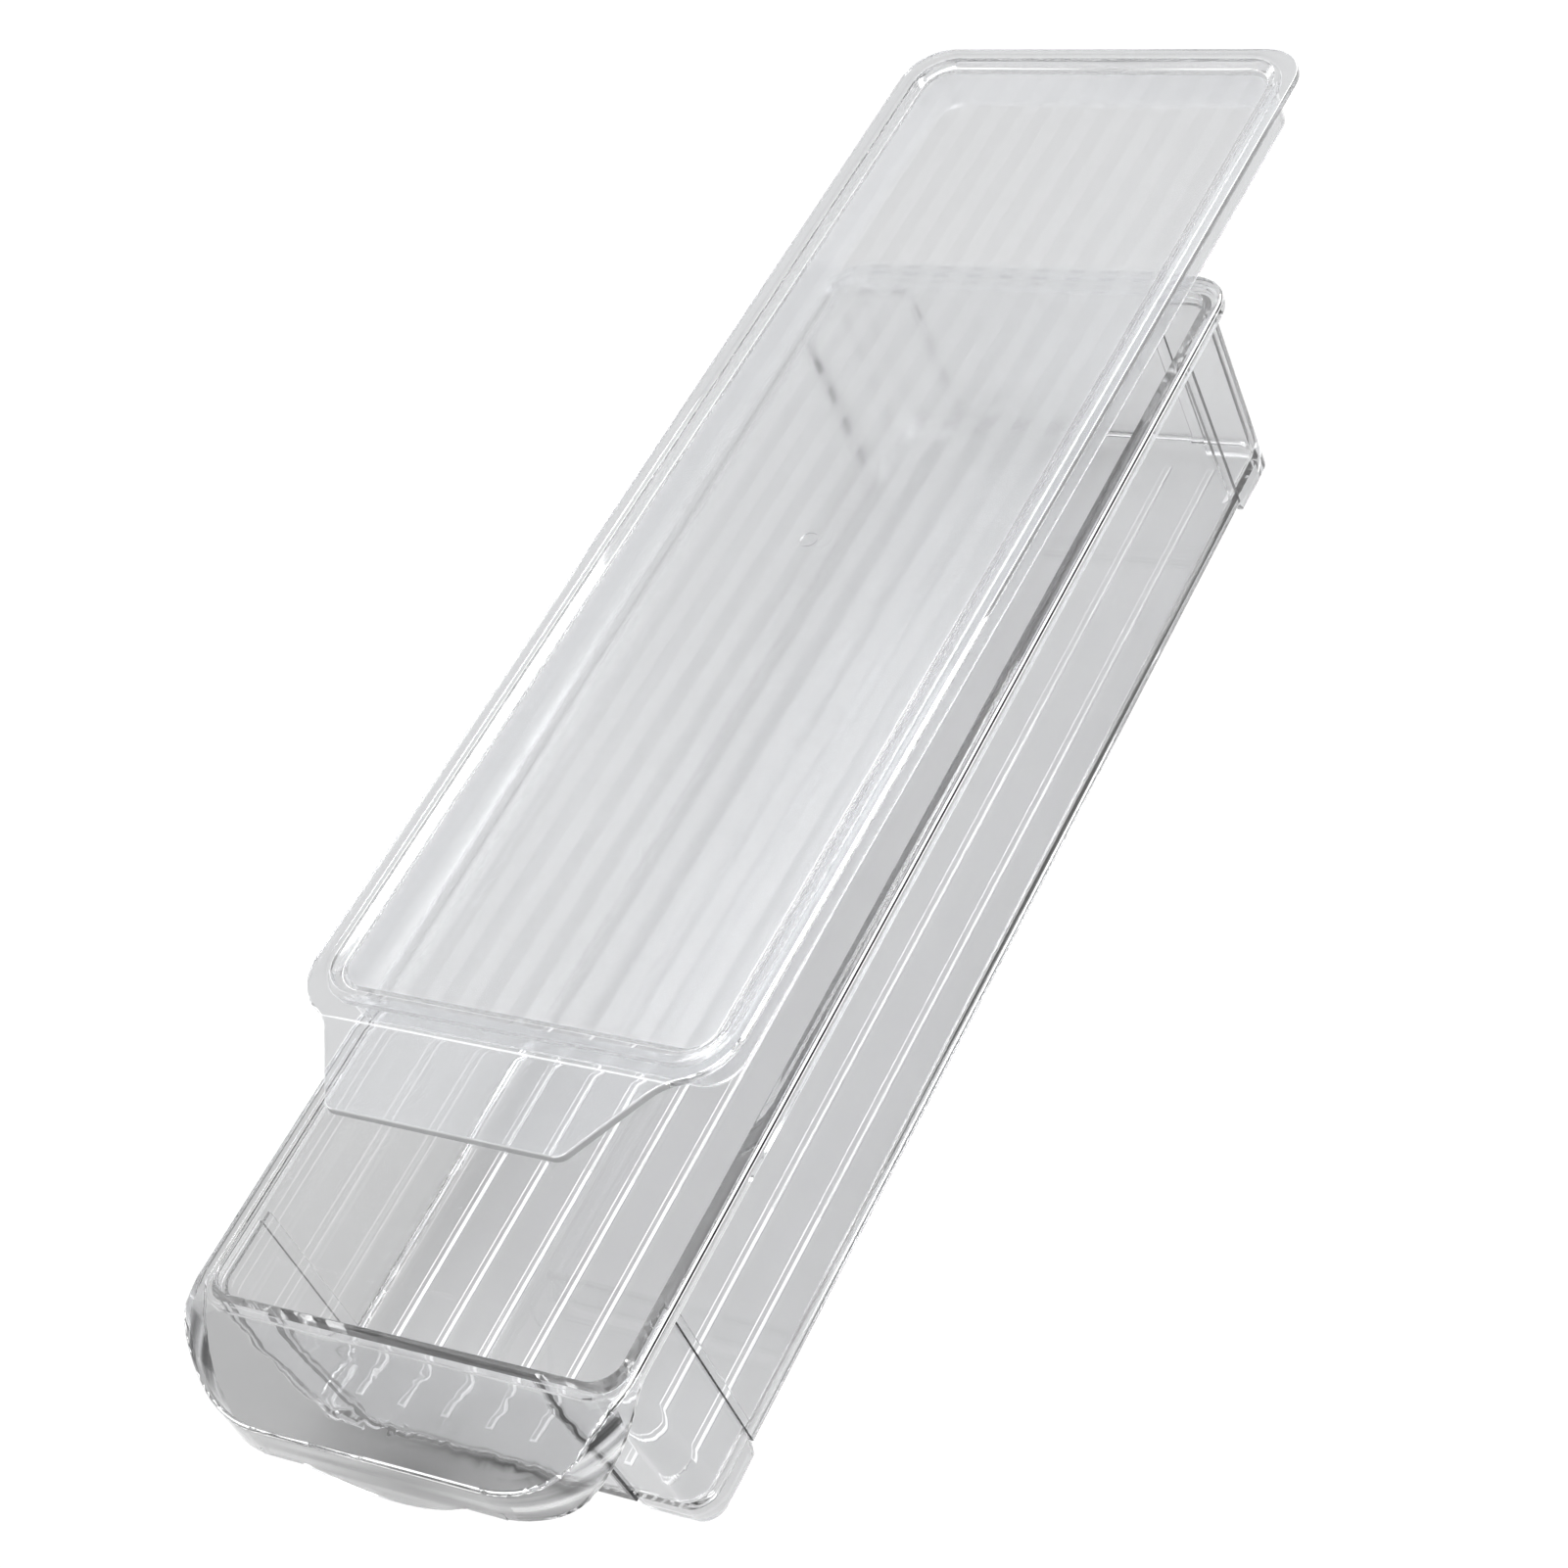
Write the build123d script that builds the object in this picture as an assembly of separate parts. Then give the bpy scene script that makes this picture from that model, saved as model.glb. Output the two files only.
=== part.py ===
from build123d import *
import os

# A clear storage bin with a lift-off lid, in millimetres, +Z up.
# The bin is modelled with its feet at Z = 0, its handle towards -Y and X = 0 down its middle.
# The lid lies loose on the rim, pushed back and to the left, as it does in the picture.

# Sizes of the tray
height = 59.3
opening_width = 113.9
opening_length = 343.4
opening_corner = 7.0
outer_corner = 6.3
wall = 2.0
side_lean = 0.3
front_lean = 3.2
rear_lean = 1.2
floor_thickness = 1.9
floor_round = 2.5
foot_height = 4.5
foot_edge_round = 0.8
base_edge_round = 0.5

# The four corners are set in a little from the flat panels between them
corner_set_in = 0.8
side_panel_front = 22.2
side_panel_rear = 22.0
end_panel_half = 38.2
inner_step_shift = 2.6
rim_band = 4.2
foot_end_slope = 1.6

# Ribs along the floor
rib_count = 8
rib_pitch = 13.05
rib_width = 2.4
rib_height = 0.7
rib_round = 0.6
rib_front_gap = 6.3
rib_rear_gap = 11.6

# The rolled rim round the opening
side_rim = 4.75
rear_rim = 6.6
front_rim = 3.3
rim_corner = 12.0
rim_root = 3.5
rim_plate = 2.2
rim_lip = 3.7
rim_skin = 1.6
rim_edge_round = 1.2
rim_lip_round = 0.4
opening_edge_round = 0.4

# The pull handle, which carries the rim on past the front wall, down and into a skirt
handle_reach = 22.2
handle_drop = 10.7
handle_corner = 30.0
handle_ease_top = 7.7
handle_ease_foot = 9.5
handle_ease_rise = 1.0
skirt_drop = 21.8
skirt_slope_start = 3.5
skirt_slope_end = 6.0
skirt_slope_round = 8.0
grip_width = 45.0
grip_depth = 6.6
grip_blend = 6.0

# The lid
lid_side_play = 1.15
lid_end_play = 0.8
lid_skirt_wall = 1.8
lid_skirt_corner = 9.0
lid_height = 15.15
lid_side_flange = 6.4
lid_rear_flange = 6.6
lid_front_flange = 9.5
lid_rear_corner = 13.0
lid_front_corner = 16.0
border_plate = 1.9
border_round = 0.5
lid_skirt_round = 0.35
panel_foot_round = 0.8
crest_round = 0.3
panel_sink = 2.1
panel_plate = 1.8
panel_side_inset = 1.7
panel_front_inset = 0.0
panel_rear_inset = 0.5
panel_corner = 8.0
panel_slope = 2.5
crest_width = 1.1
crest_slope = 1.0
crest_height = 0.4
shoulder = 1.0
gate_mark_radius = 2.4
gate_mark_depth = 0.3
gate_mark_rear = 15.0

# The lid's pull tab
tab_length = 23.5
tab_side_set_in = 13.0
tab_taper = 15.2
tab_tip_round = 4.0
tab_root_round = 14.0
tab_drop = 1.3

# Where the lid lies at rest, from its closed place
lid_back = 76.2
lid_left = 5.9
lid_turn = -0.8
lid_rest_gap = 0.05

# How far past a solid a cutting block reaches
over = 1.0

# How near two places count as one, and how well an edge lines up with an axis it runs along
near = 0.1
lined_up = 0.99

# Places worked out from the sizes
front_edge = -(opening_length + rear_rim) / 2
rear_edge = front_edge + opening_length
opening_mid = (front_edge + rear_edge) / 2
half_opening = opening_width / 2
floor_top = foot_height + floor_thickness
rim_half = half_opening + side_rim
rim_rear = rear_edge + rear_rim
handle_start = front_edge - front_rim
handle_front = handle_start - handle_reach
skirt_bottom = height - skirt_drop
skirt_slope_top = front_edge + skirt_slope_start
skirt_slope_foot = handle_front + skirt_slope_end
panel_y_front = front_edge + side_panel_front
panel_y_rear = rear_edge - side_panel_rear


def tray_outline(z, grow, corner=opening_corner):
    """The tray's plan at a height, at the opening's size plus a margin all round."""
    lean = (height - z) / height
    half = half_opening - side_lean * lean + grow
    front = front_edge + front_lean * lean - grow
    rear = rear_edge - rear_lean * lean + grow
    plan = RectangleRounded(2 * half, rear - front, corner + grow)
    return Pos(0, (front + rear) / 2, z) * plan


def tray_block(low, high, grow, bottom_round, corner=opening_corner):
    """A drafted block of the tray's plan, with its bottom edge rounded."""
    block = loft([tray_outline(low, grow, corner), tray_outline(high, grow, corner)], ruled=True)
    return fillet(block.faces().sort_by(Axis.Z)[0].edges(), bottom_round)


def panel_zone(shift, band):
    """The cross-shaped room of the four flat panels, with the band under the rim."""
    width = 4 * rim_half
    length = 2 * (rim_rear - handle_front)
    along = (panel_y_rear - shift) - (panel_y_front + shift)
    middle = (panel_y_rear + panel_y_front) / 2
    sides = Pos(0, middle, height / 2) * Box(width, along, 2 * height)
    ends = Pos(0, 0, height / 2) * Box(2 * (end_panel_half - shift), length, 2 * height)
    top = Pos(0, 0, height - band + height) * Box(width, length, 2 * height)
    return sides + ends + top


def tray_outside():
    """The outside of walls, floor and feet, still solid."""
    zone = panel_zone(0, rim_band)
    corner = outer_corner - wall
    panels = tray_block(foot_height, height, wall, base_edge_round, corner) & zone
    corners = tray_block(0, height, wall - corner_set_in, foot_edge_round, corner) - zone
    return panels + corners


def tray_inside():
    """The room inside the walls, down to the floor."""
    zone = panel_zone(inner_step_shift, rim_band)
    panels = tray_block(floor_top, height + over, 0, floor_round) & zone
    corners = tray_block(floor_top, height + over, -corner_set_in, floor_round) - zone
    return panels + corners


def under_floor():
    """What is cut away below the floor, which leaves a foot at each corner."""
    low = -over
    slope = foot_end_slope * (foot_height - low) / foot_height
    hollow = loft([tray_outline(low, -corner_set_in), tray_outline(foot_height, -corner_set_in)], ruled=True)
    side_gap = Polygon(
        (panel_y_front, foot_height),
        (panel_y_rear, foot_height),
        (panel_y_rear + slope, low),
        (panel_y_front - slope, low),
        align=None,
    )
    end_gap = Polygon(
        (-end_panel_half, foot_height),
        (end_panel_half, foot_height),
        (end_panel_half - slope, low),
        (slope - end_panel_half, low),
        align=None,
    )
    across = extrude(Plane.YZ * side_gap, 2 * rim_half, both=True)
    along = extrude(Plane.XZ * end_gap, 2 * opening_length, both=True)
    return hollow + across + along


def floor_ribs():
    """The low ribs that run along the floor."""
    length = opening_length - rib_front_gap - rib_rear_gap - front_lean - rear_lean
    start = front_edge + front_lean + rib_front_gap
    rib = Box(rib_width, length, 2 * rib_height)
    rib = fillet(rib.faces().sort_by(Axis.Z)[-1].edges(), rib_round)
    ribs = []
    for number in range(rib_count):
        x = (number - (rib_count - 1) / 2) * rib_pitch
        ribs.append(Pos(x, start + length / 2, floor_top) * rib)
    return ribs


def rim_plan(grow):
    """The rim's and handle's outline from above."""
    rear = rim_rear + grow
    front = handle_front - grow
    plan = Pos(0, (rear + front) / 2) * Rectangle(2 * (rim_half + grow), rear - front)
    corners = plan.vertices().sort_by(Axis.Y)
    plan = fillet(corners[:2], handle_corner + grow)
    rear_corners = plan.vertices().sort_by(Axis.Y)[-2:]
    return fillet(rear_corners, rim_corner + grow)


def rim_side_view(drop, bottom_level):
    """The rim's and handle's side view, lowered by a thickness where it makes the hollow."""
    top = height - drop
    shelf = top - handle_drop
    rear = rim_rear + over
    front = handle_front - over
    ease = Bezier(
        (handle_start, top),
        (handle_start - handle_ease_top, top),
        (handle_front + handle_ease_foot, shelf + handle_ease_rise),
        (handle_front, shelf),
    )
    lip = height - rim_lip
    if bottom_level is None:
        under = FilletPolyline(
            (rear, lip),
            (skirt_slope_top, lip),
            (skirt_slope_foot, skirt_bottom),
            (front, skirt_bottom),
            radius=skirt_slope_round,
        )
    else:
        under = Polyline((rear, bottom_level), (front, bottom_level))
    view = Curve() + [
        Line((rear, top), (handle_start, top)),
        ease,
        Line((handle_front, shelf), (front, shelf)),
        Line((front, shelf), under @ 1),
        under,
        Line(under @ 0, (rear, top)),
    ]
    return Plane.YZ * make_face(view)


def rim_and_handle():
    """The rolled rim with the handle's shelf and skirt, open below."""
    outside = extrude(rim_plan(0), 2 * height) & extrude(rim_side_view(0, None), 2 * rim_half, both=True)
    outside = fillet(edges_round(outside, True), rim_edge_round)
    outside = outside + grip()
    outside = fillet(edges_round(outside, False), rim_lip_round)
    hollow = extrude(rim_plan(-rim_skin), 2 * height)
    hollow = hollow & extrude(rim_side_view(rim_plate, -over), 2 * rim_half, both=True)
    return outside - hollow


def solid_rim_root():
    """The solid root below the rim's plate, where the rim grows out of the walls."""
    low = height - rim_lip
    high = height - rim_plate / 2
    return loft([tray_outline(low, rim_root), tray_outline(high, rim_root)], ruled=True)


def runs_across(edge):
    """True for an edge that runs left to right."""
    return abs(edge.tangent_at(0.5).X) > lined_up


def runs_upright(edge):
    """True for an edge that stands upright."""
    return abs(edge.tangent_at(0.5).Z) > lined_up


def edges_round(solid, upper):
    """The upper or the lower edges that go round the rim's and handle's outline."""
    outline = rim_plan(0).face().outer_wire()
    edges = []
    for edge in solid.edges():
        middle = edge.position_at(0.5)
        on_outline = outline.distance_to(Vertex(middle.X, middle.Y, 0)) < near
        if on_outline and not runs_upright(edge) and is_upper(middle) == upper:
            edges.append(edge)
    return edges


def is_upper(place):
    """True for a place on the rim's and handle's top, not on their lower edge."""
    lip = height - rim_lip
    down_slope = (skirt_slope_top - place.Y) / (skirt_slope_top - skirt_slope_foot)
    lower_edge = lip + (skirt_bottom - lip) * min(max(down_slope, 0), 1)
    return place.Z > lower_edge + over


def grip():
    """The rounded tongue below the middle of the handle's skirt."""
    half = grip_width / 2
    radius = (half**2 + grip_depth**2) / (2 * grip_depth)
    band = over + rim_skin
    lens = Pos(0, skirt_bottom - grip_depth + radius) * Circle(radius)
    below = Pos(0, skirt_bottom - radius) * Rectangle(2 * grip_width, 2 * radius)
    strip = Pos(0, skirt_bottom + band / 2) * Rectangle(grip_width + 4 * grip_blend, band)
    tongue = lens & below
    view = fillet(blend_corners(tongue + strip), grip_blend)
    return Pos(0, handle_front + rim_skin) * extrude(Plane.XZ * view, rim_skin)


def blend_corners(view):
    """The two inner corners where the tongue leaves the skirt."""
    half = grip_width / 2
    return [v for v in view.vertices() if abs(abs(v.X) - half) < near and abs(v.Y - skirt_bottom) < near]


def make_bin():
    """The whole bin, one moulding."""
    body = tray_outside() - under_floor()
    body = body + rim_and_handle() + solid_rim_root()
    body = body - tray_inside()
    body = body + floor_ribs()
    opening = [e for e in body.edges() if is_opening_edge(e)]
    return fillet(opening, opening_edge_round)


def is_opening_edge(edge):
    """True for the edges round the opening at the rim's top."""
    middle = edge.center()
    level = abs(middle.Z - height) < near and abs(edge.start_point().Z - edge.end_point().Z) < near
    between_sides = abs(middle.X) < half_opening + near
    between_ends = front_edge - near < middle.Y < rear_edge + near
    return level and between_sides and between_ends


def box_plan(left_right, front, rear, corner):
    """A rounded rectangle, even about X = 0, from one Y to another."""
    return Pos(0, (front + rear) / 2) * RectangleRounded(2 * left_right, rear - front, corner)


def lid_skirt_plan(inset):
    """The lid's locating skirt from above, which drops into the opening with play."""
    half = half_opening - lid_side_play - inset
    end = opening_length / 2 - lid_end_play - inset
    return box_plan(half, -end, end, lid_skirt_corner - inset)


def panel_plan(grow):
    """The sunk panel's outline, or one further out up its slope and crest."""
    half = half_opening - lid_side_play - panel_side_inset + grow
    end = opening_length / 2 - lid_end_play
    return box_plan(half, panel_front_inset - end - grow, end - panel_rear_inset + grow, panel_corner + grow)


def lid_flange_plan():
    """The lid's outline without its tab."""
    half = half_opening - lid_side_play + lid_side_flange
    end = opening_length / 2 - lid_end_play
    rear = end + lid_rear_flange
    front = -end - lid_front_flange
    plan = Pos(0, (front + rear) / 2) * Rectangle(2 * half, rear - front)
    plan = fillet(plan.vertices().sort_by(Axis.Y)[:2], lid_front_corner)
    return fillet(plan.vertices().sort_by(Axis.Y)[-2:], lid_rear_corner)


def lid_plan():
    """The lid's outline with its tab, whose sides run smoothly out of the front corners."""
    root = lid_front()
    tip = root - tab_length
    inside = root + lid_front_flange / 2
    root_half = half_opening - lid_side_play + lid_side_flange - tab_side_set_in
    tip_half = root_half - tab_taper
    inside_half = root_half + tab_taper * (inside - root) / tab_length
    tab = Polygon((-tip_half, tip), (tip_half, tip), (inside_half, inside), (-inside_half, inside), align=None)
    tab = fillet(tab.vertices().sort_by(Axis.Y)[:2], tab_tip_round)
    plan = lid_flange_plan() + tab
    # Growing the outline and shrinking it again rounds only its inner corners
    return offset(offset(plan, tab_root_round), -tab_root_round)


def lid_front():
    """Where the flange ends and the tab begins, from the lid's middle."""
    return -(opening_length / 2 - lid_end_play) - lid_front_flange


def lid_flange():
    """The flat flange with its tab, which slopes down a little."""
    rear = opening_length
    root = lid_front()
    tip = root - tab_length - over
    side = Polygon(
        (rear, border_top(rear)),
        (root, border_top(root)),
        (tip, border_top(tip)),
        (tip, border_top(tip) - border_plate),
        (root, border_top(root) - border_plate),
        (rear, border_top(rear) - border_plate),
        align=None,
    )
    flange = extrude(lid_plan(), 2 * lid_height) & extrude(Plane.YZ * side, 2 * rim_half, both=True)
    return fillet(upper_border_edges(flange), border_round)


def border_top(y):
    """How high the lid's border and tab are at a place along the lid."""
    past_fold = max(0, lid_front() - y)
    return lid_height - crest_height - tab_drop * past_fold / tab_length


def upper_border_edges(flange):
    """The upper edges round the flange and tab, without the fold where the tab starts."""
    edges = []
    for edge in flange.edges():
        middle = edge.position_at(0.5)
        on_top = abs(border_top(middle.Y) - middle.Z) < near
        fold = runs_across(edge) and abs(middle.Y - lid_front()) < near
        if on_top and not fold:
            edges.append(edge)
    return edges


def edges_at(solid, level):
    """A solid's edges that lie level at a height."""
    flat = [face for face in solid.faces() if abs(face.center().Z - level) < near]
    flat = [face for face in flat if abs(face.normal_at().Z) > lined_up]
    return [edge for face in flat for edge in face.edges()]


def make_lid():
    """The whole lid, one moulding, about its own middle with its skirt's bottom at Z = 0."""
    panel_top = lid_height - panel_sink
    body = lid_flange()
    border = lid_height - crest_height
    foot = Pos(0, 0, border) * panel_plan(panel_slope + crest_width + crest_slope)
    crown = Pos(0, 0, lid_height) * panel_plan(panel_slope + crest_width)
    body = body + loft([foot, crown], ruled=True)
    plate = Pos(0, 0, panel_top - panel_plate) * panel_plan(panel_slope + shoulder)
    body = body + extrude(plate, panel_sink + panel_plate - crest_height)
    body = body + extrude(lid_skirt_plan(0), panel_top - panel_plate / 2)
    body = body - extrude(lid_skirt_plan(lid_skirt_wall), panel_top - panel_plate)
    sunk = loft([Pos(0, 0, panel_top) * panel_plan(0), Pos(0, 0, lid_height) * panel_plan(panel_slope)], ruled=True)
    body = body - fillet(edges_at(sunk, panel_top), panel_foot_round)
    body = fillet(edges_at(body, lid_height), crest_round)
    body = fillet(edges_at(body, 0), lid_skirt_round)
    mark = Pos(0, -gate_mark_rear, panel_top) * Cylinder(gate_mark_radius, 2 * gate_mark_depth)
    return body - mark


def place_lid(lid):
    """Lay the lid on the rim as the picture shows it."""
    spot = Pos(-lid_left, opening_mid + lid_back, height + lid_rest_gap)
    return spot * Rot(0, 0, lid_turn) * lid


def write_parts():
    """Centre the pair on its footprint and write one file for each piece."""
    bin_body = make_bin()
    lid = place_lid(make_lid())
    whole = bin_body.bounding_box().add(lid.bounding_box())
    home = Pos(-(whole.min.X + whole.max.X) / 2, -(whole.min.Y + whole.max.Y) / 2, -whole.min.Z)
    os.makedirs("parts", exist_ok=True)
    export_step(home * bin_body, "parts/bin.step")
    export_step(home * lid, "parts/lid.step")
    print("moved by", home.position, "box", whole.size)
    print("solids", len(bin_body.solids()), len(lid.solids()))


write_parts()
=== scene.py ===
import math

import bmesh
import bpy
from mathutils import Euler, Matrix, Vector


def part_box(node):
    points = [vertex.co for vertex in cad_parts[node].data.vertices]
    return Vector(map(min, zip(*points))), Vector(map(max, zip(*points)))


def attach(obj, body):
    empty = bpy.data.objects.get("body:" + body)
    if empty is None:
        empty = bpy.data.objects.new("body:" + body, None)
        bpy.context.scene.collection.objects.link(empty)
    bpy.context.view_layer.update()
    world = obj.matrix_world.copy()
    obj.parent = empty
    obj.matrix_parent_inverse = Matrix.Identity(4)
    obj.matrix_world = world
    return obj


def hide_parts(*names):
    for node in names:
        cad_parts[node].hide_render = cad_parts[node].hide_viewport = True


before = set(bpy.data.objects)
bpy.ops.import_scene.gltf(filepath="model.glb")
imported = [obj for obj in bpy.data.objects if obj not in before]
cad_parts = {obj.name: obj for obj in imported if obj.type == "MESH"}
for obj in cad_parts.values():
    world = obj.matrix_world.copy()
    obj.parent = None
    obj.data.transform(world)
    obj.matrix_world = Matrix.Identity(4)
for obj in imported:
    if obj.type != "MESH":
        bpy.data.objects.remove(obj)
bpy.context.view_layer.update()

WHITE = (1, 1, 1, 1)
BLACK = (0, 0, 0, 1)

# Lengths are in metres and angles in degrees. Places on the bin are measured from its middle:
# x = 0 half way between its sides, y = 0 at RIM_REAR from its rear edge, z = 0 under its feet.
MM = 0.001
RIM_REAR = 175 * MM
BIN_LOW, BIN_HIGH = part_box("bin")
BIN_X = (BIN_LOW.x + BIN_HIGH.x) / 2
BIN_Y = BIN_HIGH.y - RIM_REAR

# Levels of the bin: only its feet lie below the first, the lower edges of its walls lie in BASE_ROUND
# above that, and its ribs stand on the floor's top
FEET_BELOW = 4.4 * MM
BASE_ROUND = 0.6 * MM
FLOOR_TOP = 6.4 * MM
RIB_HEIGHT = 0.7 * MM
LEVEL_PLAY = 0.1 * MM

# The rim and the handle stand out past these edges, above RIM_LOW
RIM_EDGE = 60 * MM
RIM_EDGE_FRONT = 179 * MM
RIM_EDGE_REAR = 173 * MM
RIM_LOW = 30 * MM

# The walls' outsides lie past these places, below RIM_UNDER, and their lower edges past the BASE ones
WALL_HALF = 57.5 * MM
WALL_FRONT = 173.5 * MM
WALL_REAR = 168.8 * MM
BASE_FRONT = 171 * MM
BASE_SIDE = 55.5 * MM
RIM_UNDER = 55 * MM

# Where the walls step in at the corners, and the strips painted dark as shade: beside the rear side
# steps, beside the front wall's left and right step, and along that wall's lower edge, up to BASE_TOP
SIDE_STEPS = (-152.8 * MM, 146.4 * MM)
END_STEP = 38.2 * MM
STEP_PLAY = 0.4 * MM
SIDE_STRIP = 1.2 * MM
FRONT_STRIPS = (2.2 * MM, 1.0 * MM)
BASE_TOP = 7.5 * MM

# The lid shades the ribs from here to the rear, measured forwards from the bin's middle
LID_SHADES_FROM = 95 * MM

# The lid's middle from the bin's, how it is turned and how high it reaches, then its border, panel,
# tab and stripes, measured from its own middle
LID_X = -5.9 * MM
LID_Y = 72.9 * MM
LID_TURN = -0.8
LID_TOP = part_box("lid")[1].z
BORDER_DEPTH = 3.6 * MM
BORDER_HALF_WIDTH = 60 * MM
BORDER_FRONT = 178 * MM
BORDER_REAR = 174 * MM
PANEL_HALF_WIDTH = 54.1 * MM
PANEL_HALF_LENGTH = 170.4 * MM
TAB_ROOT = 180.4 * MM
FOLD_HALF = 0.25 * MM
STRIPE_PITCH = 10 * MM
STRIPE_CLEAR_SHARE = 0.5

# Meshes: which corners are one, which edges are smooth, which strips are small roundings, and how
# much more a large face counts in the shading than a small one beside it
MERGE_DISTANCE = 0.001 * MM
SMOOTH_ANGLE = 40
ROUNDED_ANGLE = 5
SMALL_RADIUS = 1.4 * MM
NORMAL_WEIGHT = 100

# Which way a face looks, by a part of its normal: upright, on a rounding's slope, level, square to
# an axis, or in one of the handle's bends
UPRIGHT = 0.3
SLOPE_FROM = 0.7
SLOPE_TO = 0.9
LEVEL_FROM = 0.97
SQUARE = 0.9
BEND_FROM = 0.2

# How strongly the painted highlight lines, painted shade lines, painted streaks and painted reflection
# show
RIB_PAINTED_HIGHLIGHT = 0.65
RIB_PAINTED_HIGHLIGHT_UNDER_LID = 0.28
FOLD_PAINTED_HIGHLIGHT = 0.4
BASE_PAINTED_SHADE = 0.18
SIDE_BASE_PAINTED_SHADE = 0.55
FRONT_BASE_PAINTED_SHADE = 0.96
STEP_PAINTED_SHADE = 0.95
LIP_PAINTED_SHADE = 0.8
SKIRT_PAINTED_SHADE = 0.2
BORDER_PAINTED_SHADE = 0.3
TAB_EDGE_MILK_AND_SHADE = 0.8
BEND_PAINTED_STREAKS = 0.7
FRONT_PAINTED_STREAKS = 0.35
PAINTED_RIB_REFLECTION = 0.35

# The clear plastic: how it bends and tints light, how much of a lamp's light it lets through, how
# it dims with depth, and how wide and high its faint waves are
PLASTIC_IOR = 1.49
BODY_TINT = (0.945, 0.948, 0.955)
LID_TINT = (0.98, 0.987, 1.0)
LAMP_SHARE = 0.87
DULLNESS = 8.0
WAVE_SIZE = 25 * MM
WAVE_HEIGHT = 0.015 * MM

# How rough polished faces, the lid's panel and its frosted stripes are, and how milky the panel,
# the stripes on top of that, and the border with the tab
POLISH = 0.02
PANEL_POLISH = 0.12
FROST = 0.2
PANEL_MILK = 0.022
FROST_MILK = 0.012
TAB_MILK = 0.03

# The plastic where a line is marked: the tint of painted shade lines, how clear, rough and glowing the
# painted highlight lines are, and how much painted shade darkens the tab's edge
PAINTED_SHADE_TINT = (0.004, 0.004, 0.005)
PAINTED_HIGHLIGHT_CLEARNESS = 0.25
EDGE_ROUGHNESS = 0.1
PAINTED_HIGHLIGHT_GLOW = 0.4
TAB_EDGE_PAINTED_SHADE = 0.45

# A painted reflection of the ribs on a side wall: a rib shows higher up than it is away, by the rise
# below
RIB_PITCH = 13.05 * MM
RIB_HALF_WIDTH = 1.2 * MM
WALL_TO_RIB = 11.3 * MM
REFLECTION_RISE = 1.217
REFLECTION_HALF_WIDTH = 0.35 * MM

# Painted highlight and shade streaks along the handle's skirt
STREAK_LENGTH = 60 * MM
STREAK_WIDTH = 2.5 * MM
STREAK_MIDDLE = 0.55
STREAK_CONTRAST = 5

# The floor: its half width, how far it lies below the feet, its colour, the share of that colour
# that takes light and shade for the camera and in or through plastic, and how white it is to the
# camera, in a mirror image and through plastic
FLOOR_HALF = 2.5
FLOOR_DROP = 0.2 * MM
FLOOR_COLOUR = 0.8
FLOOR_SHADE_SEEN = 0.12
FLOOR_SHADE_THROUGH = 0.515
FLOOR_WHITE = 0.93
FLOOR_MIRRORED = 0.65
FLOOR_SEEN_THROUGH = 0.02

# Soft shades on the floor: the middle and reach of each, and how deep it is
HANDLE_SHADE = ((-24 * MM, -181 * MM, 0), (50 * MM, 22 * MM, 22 * MM), 0.55)
WALL_SHADE = ((0, -173 * MM, 0), (75 * MM, 4.5 * MM, 4.5 * MM), 0.97)

# How bright the dome is at shares of its height, and each lamp's place from the bin, size and watts
DOME = ((0.0, 0.2), (0.3, 0.2), (0.52, 0.7), (0.78, 0.8), (0.9, 1.6), (1.0, 1.8))
DOME_FULL = 2.0
LAMPS = {
    "overhead": ((-0.2, 0.15, 1.3), 0.6, 8),
    "side": ((0.9, 0.6, 0.8), 0.4, 3),
    "left": ((-1.2, 0.7, 0.4), 0.4, 4),
}
LIGHT_TURNS = 24

# Camera, from the picture's perspective
CAMERA_PLACE = (476.34 * MM, -446.91 * MM, 619.17 * MM)
CAMERA_TURN = (45.078, 20.456, 27.286)
CAMERA_LENS = 80.911
CAMERA_SENSOR = 36.0
CAMERA_NEAR = 0.01


# Places on the bin and the lid

def in_frame(x, y, z):
    """The shared frame's place of one that is measured from the bin's middle."""
    return Vector((BIN_X + x, BIN_Y + y, z))


def lid_turn(angle):
    """A turn about the upright, in degrees."""
    return Matrix.Rotation(math.radians(angle), 3, "Z")


def on_lid(across, along):
    """The shared frame's place of one that is measured across and along the lid, from its middle."""
    return in_frame(LID_X, LID_Y, 0) + lid_turn(LID_TURN) @ Vector((across, along, 0))


def from_lid(place):
    """A place in the shared frame, measured across and along the lid from its middle."""
    return lid_turn(-LID_TURN) @ (place - in_frame(LID_X, LID_Y, 0))


# Which faces are which, by their middle and their normal

def is_wall(normal):
    """True for a face that stands upright."""
    return abs(normal.z) < UPRIGHT


def is_outer_side(place, normal):
    """True on the outside of the side walls."""
    return is_wall(normal) and abs(place.x - BIN_X) > WALL_HALF and FEET_BELOW < place.z < RIM_UNDER


def is_outer_front(place, normal):
    """True on the outside of the front wall."""
    along = place.y - BIN_Y
    return is_wall(normal) and -RIM_EDGE_FRONT < along < -WALL_FRONT and place.z < RIM_UNDER


def is_inner_side(place, normal):
    """True on the inside of the side walls, above the floor."""
    across, along = place.x - BIN_X, place.y - BIN_Y
    inside = abs(across) < WALL_HALF and abs(along) < WALL_FRONT and FLOOR_TOP < place.z < RIM_UNDER
    return inside and normal.x * across < 0 and abs(normal.x) > SQUARE


def is_rib(place, normal):
    """True for the faces of the ribs."""
    return FLOOR_TOP < place.z < FLOOR_TOP + RIB_HEIGHT + LEVEL_PLAY


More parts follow.
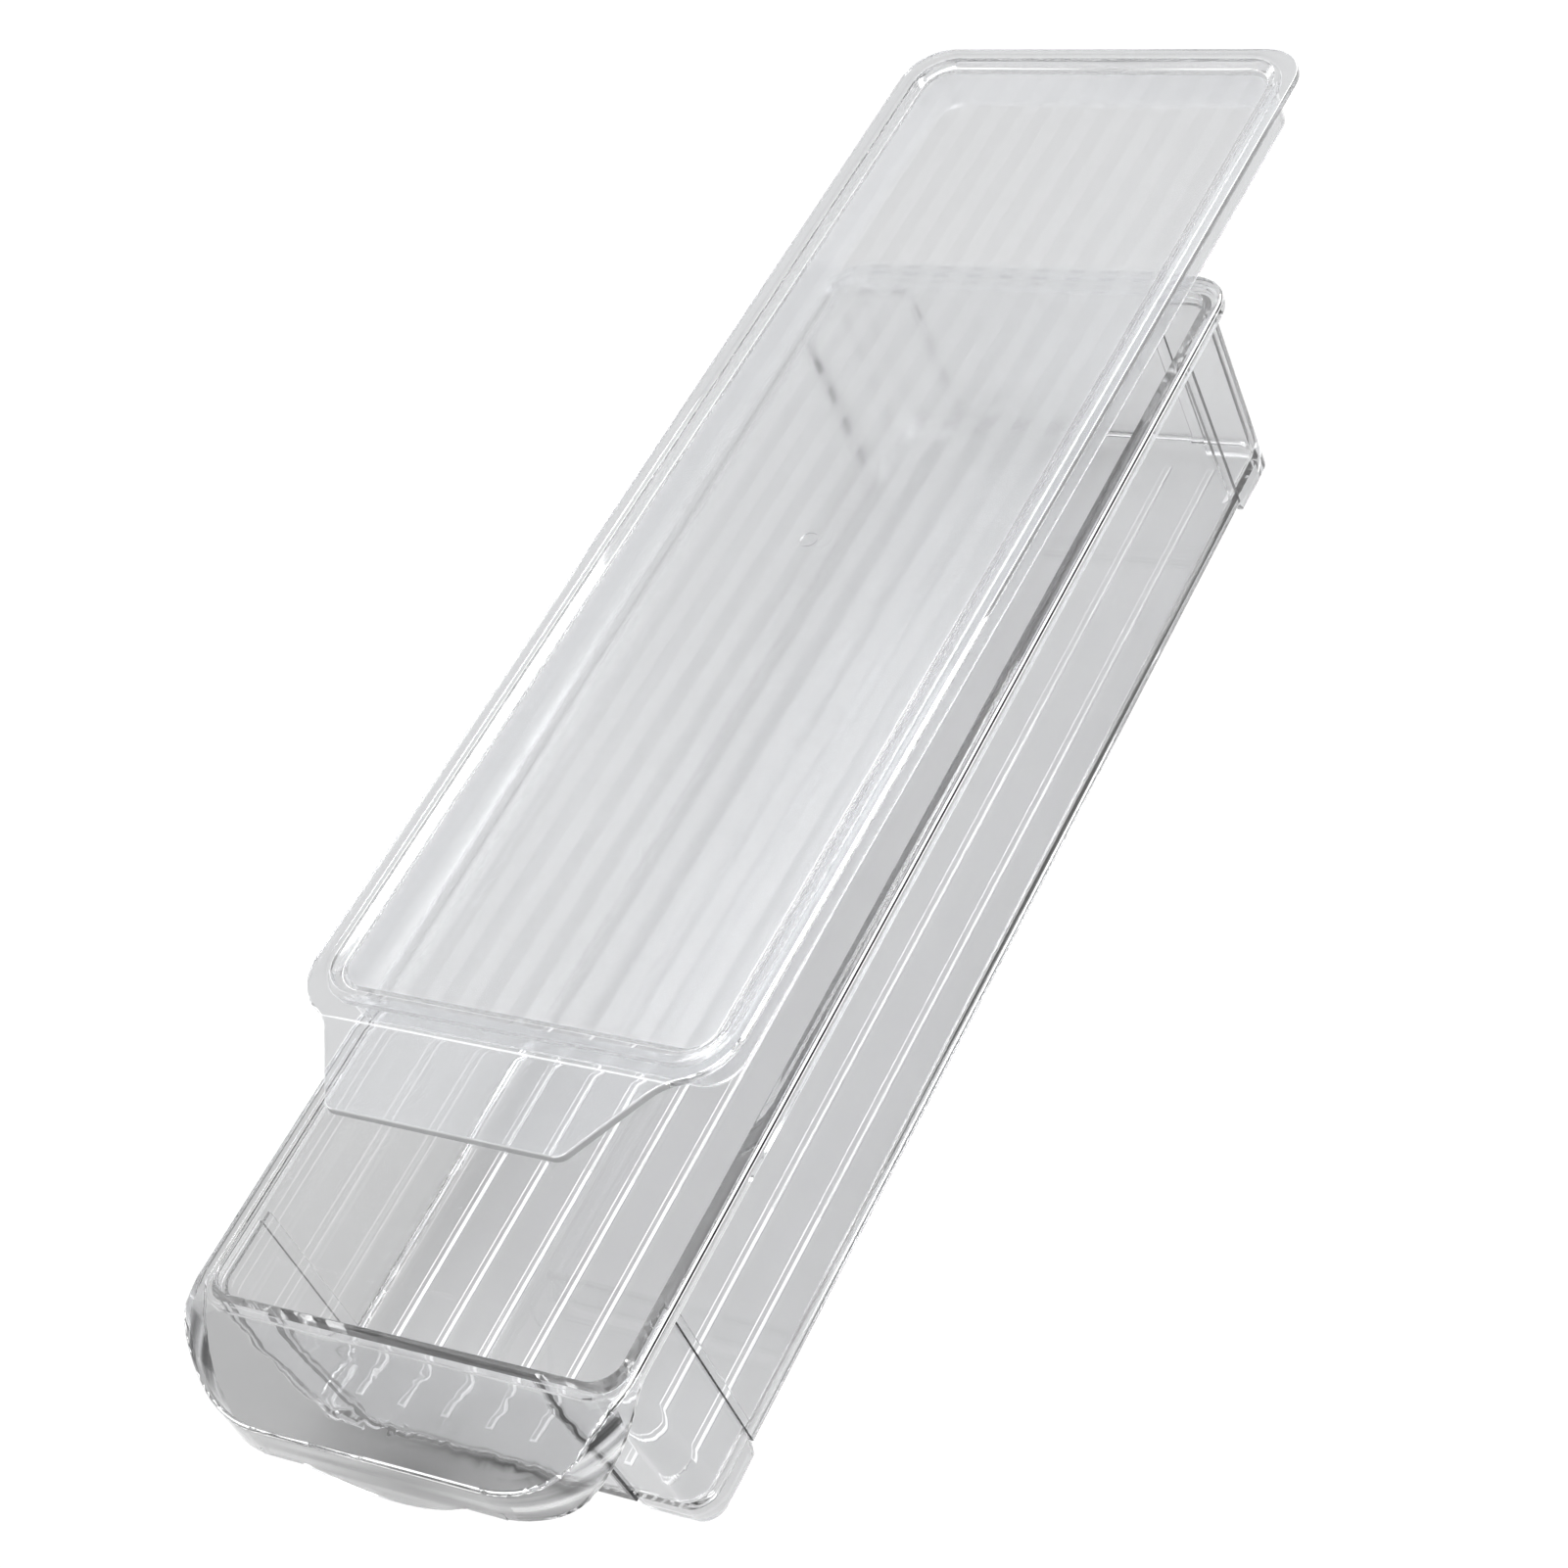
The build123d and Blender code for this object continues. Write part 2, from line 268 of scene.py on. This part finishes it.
def is_rim(place):
    """True on the rim's outer edge and the handle."""
    across, along = abs(place.x - BIN_X), place.y - BIN_Y
    outside = across > RIM_EDGE or along < -RIM_EDGE_FRONT or along > RIM_EDGE_REAR
    return outside and place.z > RIM_LOW


def is_step(place, normal):
    """True on the narrow faces where the walls step in."""
    across, along = abs(place.x - BIN_X), place.y - BIN_Y
    side_step = across > WALL_HALF and min(abs(along - y) for y in SIDE_STEPS) < STEP_PLAY
    end_step = abs(across - END_STEP) < STEP_PLAY and not -WALL_FRONT < along < WALL_REAR
    return (side_step and abs(normal.y) > SQUARE) or (end_step and abs(normal.x) > SQUARE)


def is_beside_step(place, normal):
    """True just inside the rear side steps and the front wall's steps, on the outside of the walls."""
    across, along = abs(place.x - BIN_X), place.y - BIN_Y
    front_strip = FRONT_STRIPS[0] if place.x < BIN_X else FRONT_STRIPS[1]
    beside_side = across > WALL_HALF and 0 < SIDE_STEPS[1] - along < SIDE_STRIP
    beside_front = 0 < END_STEP - across < front_strip and -RIM_EDGE_FRONT < along < -WALL_FRONT
    return is_wall(normal) and place.z < RIM_UNDER and (beside_side or beside_front)


def is_inside_border(place):
    """True for a place within the lid's raised border."""
    turned = from_lid(place)
    return abs(turned.x) < BORDER_HALF_WIDTH and -BORDER_FRONT < turned.y < BORDER_REAR


def is_tab_top(place, normal):
    """True on top of the tab and of the flange beside it."""
    return normal.z > SQUARE and from_lid(place).y < -BORDER_FRONT


# How strongly each face is marked with painted highlight, painted shade, painted reflection or milk

def bin_line(place, normal, rounded):
    """Painted highlight on ribs, feet and rim edges; painted shade on steps, outer lower edges and foot
    of walls.
    """
    across, along = abs(place.x - BIN_X), place.y - BIN_Y
    if rounded and place.z < FEET_BELOW:
        return 1
    if place.z < FEET_BELOW + BASE_ROUND and (rounded or normal.z < -SQUARE):
        if along < -BASE_FRONT:
            return -BASE_PAINTED_SHADE
        return -SIDE_BASE_PAINTED_SHADE if place.x - BIN_X > BASE_SIDE else 0
    if rounded and place.z < FLOOR_TOP - LEVEL_PLAY:
        return 0
    if rounded and place.z < FLOOR_TOP + RIB_HEIGHT:
        return RIB_PAINTED_HIGHLIGHT if along < -LID_SHADES_FROM else RIB_PAINTED_HIGHLIGHT_UNDER_LID
    if rounded and is_rim(place):
        if normal.z < -UPRIGHT:
            return -LIP_PAINTED_SHADE
        return 1 if normal.z < UPRIGHT or SLOPE_FROM < normal.z < SLOPE_TO else 0
    if is_step(place, normal) or is_beside_step(place, normal):
        return -STEP_PAINTED_SHADE
    if is_outer_front(place, normal) and place.z < BASE_TOP and across < END_STEP:
        return -FRONT_BASE_PAINTED_SHADE
    return -SKIRT_PAINTED_SHADE if along < -RIM_EDGE_FRONT and place.z > RIM_LOW else 0


def lid_line(place, normal, rounded):
    """Painted highlight on roundings and the fold, and painted shade on the side all round border and
    tab.
    """
    if rounded and SLOPE_FROM < normal.z < SLOPE_TO:
        return 1
    if is_tab_top(place, normal) and abs(from_lid(place).y + TAB_ROOT) < FOLD_HALF:
        return FOLD_PAINTED_HIGHLIGHT
    if abs(normal.z) < SLOPE_TO and place.z > LID_TOP - BORDER_DEPTH and not is_inside_border(place):
        return -BORDER_PAINTED_SHADE
    return 0


def skirt_painted_streaks(place, normal):
    """How strongly painted highlight and shade streaks show on the handle's skirt: most in its two
    bends.
    """
    if place.y - BIN_Y > -RIM_EDGE_FRONT or place.z < RIM_LOW or not is_wall(normal):
        return 0
    return BEND_PAINTED_STREAKS if abs(normal.x) > BEND_FROM else FRONT_PAINTED_STREAKS


def wall_painted_reflection(place, normal):
    """How strongly the ribs' painted reflection shows, on the inside of the side walls."""
    return PAINTED_RIB_REFLECTION if is_inner_side(place, normal) else 0


def tab_edge_milk_and_painted_shade(place, normal):
    """How milky the tab's edge is, and how much painted shade darkens it."""
    return TAB_EDGE_MILK_AND_SHADE if abs(normal.z) < LEVEL_FROM and from_lid(place).y < -TAB_ROOT else 0


# Pieces

def moulding(name, node, body):
    """A smooth copy of a moulding's mesh, which stands for its node."""
    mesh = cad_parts[node].data.copy()
    mesh.name = name
    bm = bmesh.new()
    bm.from_mesh(mesh)
    bmesh.ops.remove_doubles(bm, verts=bm.verts, dist=MERGE_DISTANCE)
    for face in bm.faces:
        face.smooth = True
    for edge in bm.edges:
        edge.smooth = edge.calc_face_angle(0) < math.radians(SMOOTH_ANGLE)
    bm.to_mesh(mesh)
    bm.free()
    piece = bpy.data.objects.new(name, mesh)
    bpy.context.scene.collection.objects.link(piece)
    normals = piece.modifiers.new("weighted_normals", "WEIGHTED_NORMAL")
    normals.keep_sharp = True
    normals.weight = NORMAL_WEIGHT
    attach(piece, body)
    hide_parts(node)
    return piece


def cut(piece, place, way, chosen):
    """Part the chosen faces along a plane, so that a strip of them can be marked."""
    bm = bmesh.new()
    bm.from_mesh(piece.data)
    faces = [face for face in bm.faces if chosen(face.calc_center_median(), face.normal)]
    edges = {edge for face in faces for edge in face.edges}
    corners = {corner for face in faces for corner in face.verts}
    parts = faces + list(edges) + list(corners)
    bmesh.ops.bisect_plane(bm, geom=parts, dist=MERGE_DISTANCE, plane_co=place, plane_no=way)
    bm.to_mesh(piece.data)
    bm.free()


def cut_strips(bin_shell, lid_shell):
    """Part the faces that are marked in part: painted shade strips, the ribs the lid shades, and the
    tab's fold.
    """
    cut(bin_shell, in_frame(0, SIDE_STEPS[1] - SIDE_STRIP, 0), (0, 1, 0), is_outer_side)
    cut(bin_shell, in_frame(0, 0, BASE_TOP), (0, 0, 1), is_outer_front)
    cut(bin_shell, in_frame(0, -LID_SHADES_FROM, 0), (0, 1, 0), is_rib)
    along_lid = on_lid(0, 1) - on_lid(0, 0)
    for side, strip in zip((-1, 1), FRONT_STRIPS):
        cut(bin_shell, in_frame(side * (END_STEP - strip), 0, 0), (1, 0, 0), is_outer_front)
        cut(lid_shell, on_lid(0, side * FOLD_HALF - TAB_ROOT), along_lid, is_tab_top)


def is_small_round(face):
    """True for a face of a small rounding, a strip that turns sharply from the next for its width."""
    least = math.radians(ROUNDED_ANGLE)
    limit = math.radians(SMOOTH_ANGLE)
    for edge in face.edges:
        width = 2 * face.calc_area() / max(edge.calc_length(), MERGE_DISTANCE)
        turn = edge.calc_face_angle(0)
        if least < turn < limit and width < turn * SMALL_RADIUS:
            return True
    return False


def mark_lines(piece, line_at):
    """Mark the faces that get painted highlight lines with up to 1, and painted shade lines with down to
    -1.
    """
    bm = bmesh.new()
    bm.from_mesh(piece.data)
    layer = bm.faces.layers.float.new("line")
    for face in bm.faces:
        face[layer] = line_at(face.calc_center_median(), face.normal, is_small_round(face))
    bm.to_mesh(piece.data)
    bm.free()


def mark(piece, name, amount_at):
    """Give every face of a piece a number."""
    numbers = piece.data.attributes.new(name, "FLOAT", "FACE")
    for face in piece.data.polygons:
        numbers.data[face.index].value = amount_at(face.center, face.normal)


def dress(piece, material):
    """Give a piece its material."""
    piece.data.materials.clear()
    piece.data.materials.append(material)


# Materials

def new_material(name):
    """An empty node material with its output, and its node tree."""
    material = bpy.data.materials.new(name)
    material.use_nodes = True
    tree = material.node_tree
    tree.nodes.clear()
    tree.nodes.new("ShaderNodeOutputMaterial")
    material.cycles.emission_sampling = "NONE"
    return material, tree


def output_of(tree):
    """A material's output node."""
    return next(node for node in tree.nodes if node.type == "OUTPUT_MATERIAL")


def maths(tree, operation, first, second=None, clamp=False):
    """One step of arithmetic between sockets or plain numbers."""
    node = tree.nodes.new("ShaderNodeMath")
    node.operation = operation
    node.use_clamp = clamp
    for socket, value in zip(node.inputs, (first, second)):
        if value is None:
            continue
        if isinstance(value, (int, float)):
            socket.default_value = value
        else:
            tree.links.new(value, socket)
    return node.outputs[0]


def object_place(tree):
    """The place of a point on its piece."""
    node = tree.nodes.new("ShaderNodeTexCoord")
    return node.outputs["Object"]


def face_mark(tree, name):
    """A number that the mesh's faces carry."""
    node = tree.nodes.new("ShaderNodeAttribute")
    node.attribute_name = name
    return node.outputs["Fac"]


def clear_shader(tree, tint, ior):
    """The shader of polished clear plastic, which lets the lamps through."""
    shader = tree.nodes.new("ShaderNodeBsdfPrincipled")
    shader.inputs["Base Color"].default_value = (*tint, 1)
    shader.inputs["Transmission Weight"].default_value = 1
    shader.inputs["IOR"].default_value = ior
    path = tree.nodes.new("ShaderNodeLightPath")
    open_way = tree.nodes.new("ShaderNodeBsdfTransparent")
    open_way.inputs["Color"].default_value = (LAMP_SHARE, LAMP_SHARE, LAMP_SHARE, 1)
    both = tree.nodes.new("ShaderNodeMixShader")
    tree.links.new(path.outputs["Is Shadow Ray"], both.inputs["Fac"])
    tree.links.new(shader.outputs[0], both.inputs[1])
    tree.links.new(open_way.outputs[0], both.inputs[2])
    tree.links.new(both.outputs[0], output_of(tree).inputs["Surface"])
    depth = tree.nodes.new("ShaderNodeVolumeAbsorption")
    depth.inputs["Color"].default_value = BLACK
    depth.inputs["Density"].default_value = DULLNESS
    tree.links.new(depth.outputs[0], output_of(tree).inputs["Volume"])
    return shader


def moulded_bump(tree, shader):
    """The faint waviness of a moulded face."""
    noise = tree.nodes.new("ShaderNodeTexNoise")
    noise.inputs["Scale"].default_value = 1 / WAVE_SIZE
    noise.inputs["Detail"].default_value = 1
    tree.links.new(object_place(tree), noise.inputs["Vector"])
    bump = tree.nodes.new("ShaderNodeBump")
    bump.inputs["Distance"].default_value = WAVE_HEIGHT
    tree.links.new(noise.outputs[0], bump.inputs["Height"])
    tree.links.new(bump.outputs[0], shader.inputs["Normal"])


def painted_streak_noise(tree):
    """Long level streaks: painted highlight above 0 and painted shade below it."""
    stretch = tree.nodes.new("ShaderNodeMapping")
    stretch.inputs["Scale"].default_value = (1 / STREAK_LENGTH, 1 / STREAK_LENGTH, 1 / STREAK_WIDTH)
    tree.links.new(object_place(tree), stretch.inputs["Vector"])
    noise = tree.nodes.new("ShaderNodeTexNoise")
    noise.inputs["Scale"].default_value = 1
    noise.inputs["Detail"].default_value = 1
    tree.links.new(stretch.outputs[0], noise.inputs["Vector"])
    centred = maths(tree, "SUBTRACT", noise.outputs[0], STREAK_MIDDLE)
    return maths(tree, "MULTIPLY", centred, STREAK_CONTRAST)


def painted_rib_reflections(tree):
    """Painted reflection of the ribs: double lines up the side walls, 1 on a line seen from the air
    side.
    """
    split = tree.nodes.new("ShaderNodeSeparateXYZ")
    tree.links.new(object_place(tree), split.inputs[0])
    rise = maths(tree, "SUBTRACT", split.outputs[2], FLOOR_TOP)
    distance = maths(tree, "MULTIPLY", rise, 1 / REFLECTION_RISE)
    from_rib = maths(tree, "PINGPONG", maths(tree, "SUBTRACT", distance, WALL_TO_RIB), RIB_PITCH / 2)
    from_edge = maths(tree, "ABSOLUTE", maths(tree, "SUBTRACT", from_rib, RIB_HALF_WIDTH))
    in_widths = maths(tree, "MULTIPLY", from_edge, 1 / REFLECTION_HALF_WIDTH)
    line = maths(tree, "SUBTRACT", 1, in_widths, clamp=True)
    side = tree.nodes.new("ShaderNodeNewGeometry")
    return maths(tree, "MULTIPLY", line, maths(tree, "SUBTRACT", 1, side.outputs["Backfacing"]))


def line_marks(tree, shader, rough, milk=0):
    """Less clear plastic on the marked lines, as painted highlight and painted shade; rough and milk
    hold elsewhere.
    """
    painted_streaks = maths(tree, "MULTIPLY", painted_streak_noise(tree), face_mark(tree, "painted_streak"))
    painted_reflections = maths(tree, "MULTIPLY", painted_rib_reflections(tree), face_mark(tree, "painted_reflection"))
    marks = maths(tree, "ADD", face_mark(tree, "line"), painted_streaks)
    marks = maths(tree, "ADD", marks, painted_reflections)
    milk_and_painted_shade = face_mark(tree, "milk_and_painted_shade")
    bright = maths(tree, "MINIMUM", maths(tree, "MAXIMUM", marks, 0), 1)
    below = maths(tree, "MULTIPLY", marks, -1)
    dark = maths(tree, "MAXIMUM", below, maths(tree, "MULTIPLY", milk_and_painted_shade, TAB_EDGE_PAINTED_SHADE))
    # Painted shade: dark lines and the tab's edge take a dark tint
    tint = tree.nodes.new("ShaderNodeMixRGB")
    tint.inputs["Color1"].default_value = shader.inputs["Base Color"].default_value
    tint.inputs["Color2"].default_value = (*PAINTED_SHADE_TINT, 1)
    tree.links.new(dark, tint.inputs["Fac"])
    tree.links.new(tint.outputs[0], shader.inputs["Base Color"])
    # Painted highlight: bright lines turn milky, so that they light up white
    milky = maths(tree, "MAXIMUM", maths(tree, "MULTIPLY", bright, 1 - PAINTED_HIGHLIGHT_CLEARNESS), milk)
    milky = maths(tree, "MAXIMUM", milky, milk_and_painted_shade)
    tree.links.new(maths(tree, "SUBTRACT", 1, milky), shader.inputs["Transmission Weight"])
    extra = maths(tree, "MULTIPLY", bright, EDGE_ROUGHNESS)
    tree.links.new(maths(tree, "ADD", extra, rough), shader.inputs["Roughness"])
    # Painted highlight: bright lines glow white, though they are no lamp
    shader.inputs["Emission Color"].default_value = WHITE
    tree.links.new(maths(tree, "MULTIPLY", bright, PAINTED_HIGHLIGHT_GLOW), shader.inputs["Emission Strength"])


def body_plastic():
    """Clear plastic of the bin, polished all over."""
    material, tree = new_material("clear_body")
    shader = clear_shader(tree, BODY_TINT, PLASTIC_IOR)
    line_marks(tree, shader, POLISH)
    moulded_bump(tree, shader)
    return material


def lid_plastic():
    """Clear plastic of the lid, with frosted stripes along its sunk panel."""
    material, tree = new_material("clear_lid_with_stripes")
    shader = clear_shader(tree, LID_TINT, PLASTIC_IOR)
    mapping = tree.nodes.new("ShaderNodeMapping")
    mapping.vector_type = "TEXTURE"
    mapping.inputs["Location"].default_value = in_frame(LID_X, LID_Y, 0)
    mapping.inputs["Rotation"].default_value = (0, 0, math.radians(LID_TURN))
    tree.links.new(object_place(tree), mapping.inputs["Vector"])
    split = tree.nodes.new("ShaderNodeSeparateXYZ")
    tree.links.new(mapping.outputs[0], split.inputs[0])
    across, along = split.outputs[0], split.outputs[1]
    from_clear = maths(tree, "PINGPONG", across, STRIPE_PITCH / 2)
    frosted = maths(tree, "GREATER_THAN", from_clear, STRIPE_PITCH * STRIPE_CLEAR_SHARE / 2)
    inside = maths(tree, "LESS_THAN", maths(tree, "ABSOLUTE", across), PANEL_HALF_WIDTH)
    within = maths(tree, "LESS_THAN", maths(tree, "ABSOLUTE", along), PANEL_HALF_LENGTH)
    panel = maths(tree, "MULTIPLY", inside, within)
    rough = maths(tree, "MULTIPLY", frosted, FROST - PANEL_POLISH)
    rough = maths(tree, "ADD", rough, PANEL_POLISH - POLISH)
    rough = maths(tree, "MULTIPLY", rough, panel)
    milk = maths(tree, "ADD", maths(tree, "MULTIPLY", frosted, FROST_MILK), PANEL_MILK)
    border = maths(tree, "MULTIPLY", maths(tree, "SUBTRACT", 1, panel), TAB_MILK)
    milk = maths(tree, "ADD", maths(tree, "MULTIPLY", milk, panel), border)
    line_marks(tree, shader, maths(tree, "ADD", rough, POLISH), milk)
    return material


# Floor, light and camera

def soft_shade(tree, middle, reach, depth):
    """What a soft shade leaves of the floor's colour: 1 outside it, least in its middle."""
    zone = tree.nodes.new("ShaderNodeMapping")
    zone.vector_type = "TEXTURE"
    zone.inputs["Location"].default_value = in_frame(*middle)
    zone.inputs["Scale"].default_value = reach
    tree.links.new(object_place(tree), zone.inputs["Vector"])
    ball = tree.nodes.new("ShaderNodeTexGradient")
    ball.gradient_type = "QUADRATIC_SPHERE"
    tree.links.new(zone.outputs[0], ball.inputs["Vector"])
    return maths(tree, "SUBTRACT", 1, maths(tree, "MULTIPLY", ball.outputs["Fac"], depth))


def floor_white():
    """White to the camera, with the shadow and two soft shades, and dimmer in and through plastic."""
    material, tree = new_material("white_floor")
    path = tree.nodes.new("ShaderNodeLightPath")
    direct = path.outputs["Is Camera Ray"]
    glossy = path.outputs["Is Glossy Ray"]
    through = path.outputs["Is Transmission Ray"]
    plain = tree.nodes.new("ShaderNodeBsdfDiffuse")
    white = tree.nodes.new("ShaderNodeEmission")
    # A ray bent through plastic counts as glossy as well, so those are taken off here
    mirrored = maths(tree, "SUBTRACT", glossy, through, clamp=True)
    strength = maths(tree, "MULTIPLY", direct, FLOOR_WHITE)
    strength = maths(tree, "ADD", strength, maths(tree, "MULTIPLY", mirrored, FLOOR_MIRRORED))
    strength = maths(tree, "ADD", strength, maths(tree, "MULTIPLY", through, FLOOR_SEEN_THROUGH))
    tree.links.new(strength, white.inputs["Strength"])
    held_back = maths(tree, "MULTIPLY", direct, 1 - FLOOR_SHADE_SEEN)
    glossy_back = maths(tree, "MULTIPLY", glossy, 1 - FLOOR_SHADE_THROUGH)
    held_back = maths(tree, "ADD", held_back, glossy_back)
    colour = maths(tree, "MULTIPLY", maths(tree, "SUBTRACT", 1, held_back), FLOOR_COLOUR)
    for shade in (HANDLE_SHADE, WALL_SHADE):
        colour = maths(tree, "MULTIPLY", colour, soft_shade(tree, *shade))
    tree.links.new(colour, plain.inputs["Color"])
    both = tree.nodes.new("ShaderNodeAddShader")
    tree.links.new(plain.outputs[0], both.inputs[0])
    tree.links.new(white.outputs[0], both.inputs[1])
    tree.links.new(both.outputs[0], output_of(tree).inputs["Surface"])
    return material


def floor():
    """A plain floor, a little below the feet."""
    mesh = bpy.data.meshes.new("floor")
    bm = bmesh.new()
    bmesh.ops.create_grid(bm, x_segments=1, y_segments=1, size=FLOOR_HALF)
    bmesh.ops.translate(bm, verts=bm.verts, vec=(0, 0, -FLOOR_DROP))
    bm.to_mesh(mesh)
    bm.free()
    piece = bpy.data.objects.new("floor", mesh)
    bpy.context.scene.collection.objects.link(piece)
    dress(piece, floor_white())


def studio():
    """White behind everything; a soft dome, dimmer towards the horizon, lights the pieces."""
    world = bpy.data.worlds.new("studio")
    world.use_nodes = True
    bpy.context.scene.world = world
    tree = world.node_tree
    tree.nodes.clear()
    output = tree.nodes.new("ShaderNodeOutputWorld")
    place = tree.nodes.new("ShaderNodeTexCoord")
    split = tree.nodes.new("ShaderNodeSeparateXYZ")
    tree.links.new(place.outputs["Generated"], split.inputs[0])
    ramp = tree.nodes.new("ShaderNodeValToRGB")
    while len(ramp.color_ramp.elements) < len(DOME):
        ramp.color_ramp.elements.new(1)
    for element, (height, light) in zip(ramp.color_ramp.elements, DOME):
        element.position = height
        element.color = [light / DOME_FULL] * 3 + [1]
    tree.links.new(split.outputs[2], ramp.inputs["Fac"])
    path = tree.nodes.new("ShaderNodeLightPath")
    dome = tree.nodes.new("ShaderNodeBackground")
    tree.links.new(maths(tree, "MULTIPLY", ramp.outputs[0], DOME_FULL), dome.inputs["Strength"])
    behind = tree.nodes.new("ShaderNodeBackground")
    mix = tree.nodes.new("ShaderNodeMixShader")
    tree.links.new(path.outputs["Is Camera Ray"], mix.inputs["Fac"])
    tree.links.new(dome.outputs[0], mix.inputs[1])
    tree.links.new(behind.outputs[0], mix.inputs[2])
    tree.links.new(mix.outputs[0], output.inputs["Surface"])
    for node in (dome, behind):
        node.inputs["Color"].default_value = WHITE


def lamps():
    """Square lamps around the bin, which shine towards its middle."""
    middle = in_frame(0, 0, 0)
    for name, (place, size, power) in LAMPS.items():
        light = bpy.data.lights.new(name, "AREA")
        light.shape = "SQUARE"
        light.size = size
        light.energy = power
        lamp = bpy.data.objects.new(name, light)
        lamp.location = middle + Vector(place)
        lamp.rotation_euler = (middle - lamp.location).to_track_quat("-Z", "Y").to_euler()
        bpy.context.scene.collection.objects.link(lamp)


def camera():
    """The camera where the picture was taken from."""
    data = bpy.data.cameras.new("camera")
    data.lens = CAMERA_LENS
    data.sensor_width = CAMERA_SENSOR
    data.clip_start = CAMERA_NEAR
    view = bpy.data.objects.new("camera", data)
    view.location = in_frame(*CAMERA_PLACE)
    view.rotation_euler = Euler([math.radians(angle) for angle in CAMERA_TURN])
    bpy.context.scene.collection.objects.link(view)
    bpy.context.scene.camera = view


def view_settings():
    """Plain colours, and as many bounces as light needs that is caught in a wall."""
    scene = bpy.context.scene
    scene.view_settings.view_transform = "Standard"
    scene.cycles.max_bounces = LIGHT_TURNS
    scene.cycles.transmission_bounces = LIGHT_TURNS
    scene.cycles.glossy_bounces = LIGHT_TURNS


camera()
bin_shell = moulding("bin_moulding", "bin", "bin")
lid_shell = moulding("lid_moulding", "lid", "lid")
cut_strips(bin_shell, lid_shell)
mark_lines(bin_shell, bin_line)
mark_lines(lid_shell, lid_line)
mark(bin_shell, "painted_streak", skirt_painted_streaks)
mark(bin_shell, "painted_reflection", wall_painted_reflection)
mark(lid_shell, "milk_and_painted_shade", tab_edge_milk_and_painted_shade)
dress(bin_shell, body_plastic())
dress(lid_shell, lid_plastic())
floor()
studio()
lamps()
view_settings()
